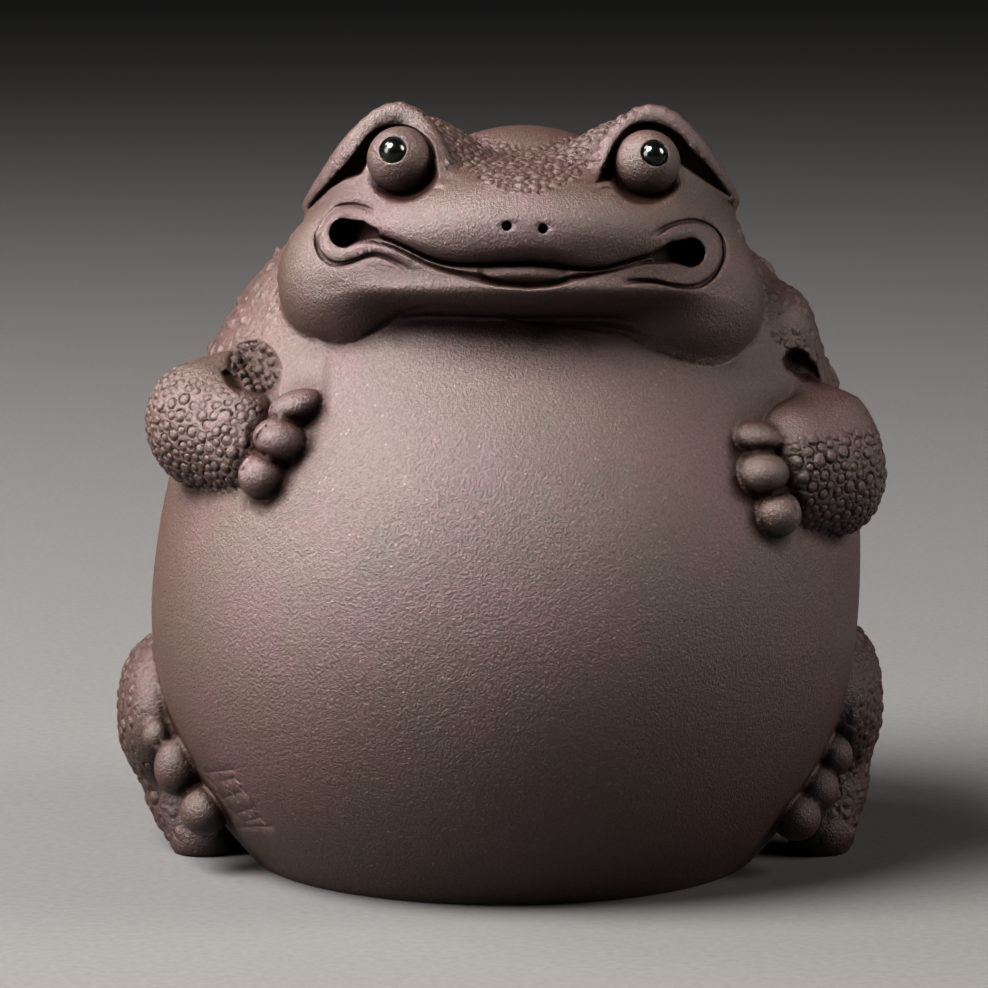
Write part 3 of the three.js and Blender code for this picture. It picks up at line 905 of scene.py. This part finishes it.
def model_clay():
    work = rough_lump()
    work.verts.index_update()
    places, _ = settle(uncut, places_of(work), 5)
    move_to(work, places)
    refine(work, fine_here)
    refine(work, finest_here)
    places, outward = settle(uncut, places_of(work), 1)
    places, painted_shade = mark(places, outward)
    shade_layer = work.verts.layers.float.new(PAINTED_SHADE_LAYER)
    for vert, value in zip(work.verts, painted_shade.tolist()):
        vert[shade_layer] = value
    move_to(work, places * HUNDREDTH)
    bmesh.ops.triangulate(work, faces=work.faces[:])
    bmesh.ops.recalc_face_normals(work, faces=work.faces[:])
    mesh = finish_mesh(work, "clay")
    mesh.shade_smooth()
    clay = show("clay_toad_skin", mesh)
    thin_out(clay)
    add_eyeballs(clay.data)
    clay.data.shade_smooth()
    return clay


# Materials
def start_material(name):
    material = bpy.data.materials.new(name)
    material.use_nodes = True
    nodes = material.node_tree.nodes
    return material, nodes, material.node_tree.links, nodes["Principled BSDF"]


def noise(nodes, links, place, scale, detail, roughness=0.5):
    node = nodes.new("ShaderNodeTexNoise")
    node.inputs["Scale"].default_value = scale
    node.inputs["Detail"].default_value = detail
    node.inputs["Roughness"].default_value = roughness
    links.new(place, node.inputs["Vector"])
    return node.outputs["Fac"]


def ramp(nodes, links, value, stops):
    node = nodes.new("ShaderNodeValToRGB")
    node.color_ramp.elements.remove(node.color_ramp.elements[0])
    for i, (position, colour) in enumerate(stops):
        stop = node.color_ramp.elements[0] if i == 0 else node.color_ramp.elements.new(position)
        stop.position = position
        stop.color = (*colour, 1)
    links.new(value, node.inputs["Fac"])
    return node.outputs["Color"]


def mix(nodes, links, amount, a, b, way="MIX"):
    node = nodes.new("ShaderNodeMix")
    node.data_type = "RGBA"
    node.blend_type = way
    for value, name in ((amount, "Factor"), (a, "A"), (b, "B")):
        socket = next(s for s in node.inputs if s.name == name and s.enabled)
        if isinstance(value, (int, float)):
            socket.default_value = value
        elif isinstance(value, tuple):
            socket.default_value = (*value, 1)
        else:
            links.new(value, socket)
    return next(s for s in node.outputs if s.enabled)


def bump(nodes, links, height, strength, distance, under=None):
    node = nodes.new("ShaderNodeBump")
    node.inputs["Strength"].default_value = strength
    node.inputs["Distance"].default_value = distance
    links.new(height, node.inputs["Height"])
    if under is not None:
        links.new(under, node.inputs["Normal"])
    return node.outputs["Normal"]


def cells(nodes, links, place, scale):
    """How far places lie from the nearest of many scattered grains."""
    node = nodes.new("ShaderNodeTexVoronoi")
    node.inputs["Scale"].default_value = scale
    links.new(place, node.inputs["Vector"])
    return node.outputs["Distance"]


def spread(nodes, links, value, low, high, to_low, to_high):
    node = nodes.new("ShaderNodeMapRange")
    for name, number in (("From Min", low), ("From Max", high), ("To Min", to_low), ("To Max", to_high)):
        node.inputs[name].default_value = number
    links.new(value, node.inputs["Value"])
    return node.outputs["Result"]


BROWN = (0.044, 0.018, 0.0114)
BROWNS = [(0.3, (0.035, 0.014, 0.0088)), (0.5, BROWN), (0.72, (0.055, 0.0245, 0.0162))]
GREEN_TO_PURPLE = [(0.36, (0.04, 0.023, 0.0102)), (0.5, BROWN), (0.64, (0.054, 0.017, 0.0205))]
GRAIN_SHADES = [(0.34, (0.42, 0.4, 0.38)), (0.52, (1, 1, 1)), (0.68, (1.7, 1.66, 1.6))]
SPECK_COLOUR = (0.17, 0.115, 0.08)
PAINTED_SHADE_COLOUR = (0.012, 0.005, 0.0035)


def clay_material():
    """Dark brown clay with a sandy grain, faint purple and green blooms, a satin polish, and painted shade,
    darker and less shiny, in its creases and cut marks.
    """
    material, nodes, links, shader = start_material("clay")
    place = nodes.new("ShaderNodeTexCoord").outputs["Object"]
    patches = noise(nodes, links, place, scale=45, detail=3)
    blooms = noise(nodes, links, place, scale=85, detail=3)
    grain = noise(nodes, links, place, scale=2600, detail=4, roughness=0.72)
    lumps = noise(nodes, links, place, scale=800, detail=1)
    sand = cells(nodes, links, place, scale=2400)
    specks = cells(nodes, links, place, scale=700)
    crease = nodes.new("ShaderNodeAttribute")
    crease.attribute_name = PAINTED_SHADE_LAYER
    painted_shade = crease.outputs["Fac"]

    base = ramp(nodes, links, patches, BROWNS)
    tinted = mix(nodes, links, 0.45, base, ramp(nodes, links, blooms, GREEN_TO_PURPLE))
    grained = mix(nodes, links, 0.7, tinted, ramp(nodes, links, grain, GRAIN_SHADES), "MULTIPLY")
    on_speck = spread(nodes, links, specks, 0.07, 0.15, 0.45, 0)
    sprinkled = mix(nodes, links, on_speck, grained, SPECK_COLOUR)
    # Painted shade: the clay turns nearly black and loses much of its shine where the mesh's layer marks a
    # crease, a cut mark, a wart ring or a leg.
    shade = spread(nodes, links, painted_shade, 0.05, 0.9, 0, 0.72)
    links.new(mix(nodes, links, shade, sprinkled, PAINTED_SHADE_COLOUR), shader.inputs["Base Color"])
    links.new(spread(nodes, links, grain, 0.35, 0.65, 0.57, 0.4), shader.inputs["Roughness"])
    links.new(spread(nodes, links, painted_shade, 0.05, 0.8, 0.95, 0.2), shader.inputs["Specular IOR Level"])

    lumpy = bump(nodes, links, lumps, strength=1, distance=0.00006)
    gritty = bump(nodes, links, sand, strength=-1, distance=0.0001, under=lumpy)
    grainy = bump(nodes, links, grain, strength=1, distance=0.00023, under=gritty)
    links.new(grainy, shader.inputs["Normal"])
    return material


HAZE = [(0.35, (0.0015, 0.0015, 0.0015)), (0.7, (0.005, 0.007, 0.005))]


def glaze_material():
    """Black glaze with a hard shine, and a trace of green haze."""
    material, nodes, links, shader = start_material("black_glaze")
    place = nodes.new("ShaderNodeTexCoord").outputs["Object"]
    haze = noise(nodes, links, place, scale=700, detail=3)
    links.new(ramp(nodes, links, haze, HAZE), shader.inputs["Base Color"])
    links.new(spread(nodes, links, haze, 0, 1, 0.12, 0.3), shader.inputs["Roughness"])
    shader.inputs["Coat Weight"].default_value = 0.4
    shader.inputs["Coat Roughness"].default_value = 0.12
    links.new(bump(nodes, links, haze, strength=0.15, distance=0.0001), shader.inputs["Normal"])
    return material


clay = model_clay()
clay.data.materials.append(clay_material())
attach(clay, "root")
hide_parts("clay_toad")

glaze = glaze_material()
for name in PUPILS:
    bead = model_pupil(name)
    bead.data.materials.append(glaze)
    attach(bead, "root")
    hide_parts(name)


# The studio: pale paper, soft lights and the camera
PAPER_SHADES = [(0.3, (0.105, 0.103, 0.1)), (0.7, (0.118, 0.116, 0.113))]


def model_floor():
    work = bmesh.new()
    bmesh.ops.create_grid(work, x_segments=1, y_segments=1, size=6)
    mesh = finish_mesh(work, "floor")
    material, nodes, links, shader = start_material("pale_paper")
    place = nodes.new("ShaderNodeTexCoord").outputs["Object"]
    fibre = noise(nodes, links, place, scale=900, detail=3)
    links.new(ramp(nodes, links, fibre, PAPER_SHADES), shader.inputs["Base Color"])
    shader.inputs["Roughness"].default_value = 0.8
    shader.inputs["Specular IOR Level"].default_value = 0.15
    mesh.materials.append(material)
    return show("floor", mesh)


def add_light(name, direction, distance, size, power, colour):
    """A round soft light, aimed at the middle of the toad."""
    lamp = bpy.data.lights.new(name, "AREA")
    lamp.shape = "DISK"
    lamp.size = size
    lamp.energy = power
    lamp.color = colour
    light = show(name, lamp)
    way = Vector(direction).normalized()
    light.location = Vector((0, 0, HEIGHT / 2)) + way * distance
    light.rotation_euler = way.to_track_quat("Z", "Y").to_euler()


def add_lights():
    add_light("key", (-0.6, -0.33, 0.85), distance=1.1, size=0.75, power=62, colour=(1.0, 0.985, 0.98))
    add_light("side", (-0.97, -0.27, 0.25), distance=1.1, size=0.8, power=16, colour=(1.0, 0.985, 0.99))
    add_light("fill", (0.95, -0.08, 0.5), distance=1.2, size=0.7, power=19, colour=(1.0, 0.94, 0.9))
    add_light("rim", (-0.75, 0.35, 0.8), distance=1.2, size=0.5, power=7, colour=(0.97, 0.98, 1.0))
    world = bpy.data.worlds.new("studio")
    world.use_nodes = True
    sky = world.node_tree.nodes["Background"]
    sky.inputs["Color"].default_value = (0.9, 0.92, 0.95, 1)
    sky.inputs["Strength"].default_value = 0.02
    bpy.context.scene.world = world
    bpy.context.scene.view_settings.view_transform = "Standard"
    bpy.context.scene.view_settings.gamma = 0.71


def add_camera():
    lens = bpy.data.cameras.new("camera")
    lens.sensor_width = SENSOR_WIDTH
    lens.lens = SENSOR_WIDTH * PIXELS_PER_RADIAN / PICTURE_SIDE
    camera = show("camera", lens)
    camera.location = Vector(CAMERA.tolist()) * HUNDREDTH
    camera.rotation_euler = (math.pi / 2 - CAMERA_RISE, 0, 0)
    bpy.context.scene.camera = camera


model_floor()
add_lights()
add_camera()
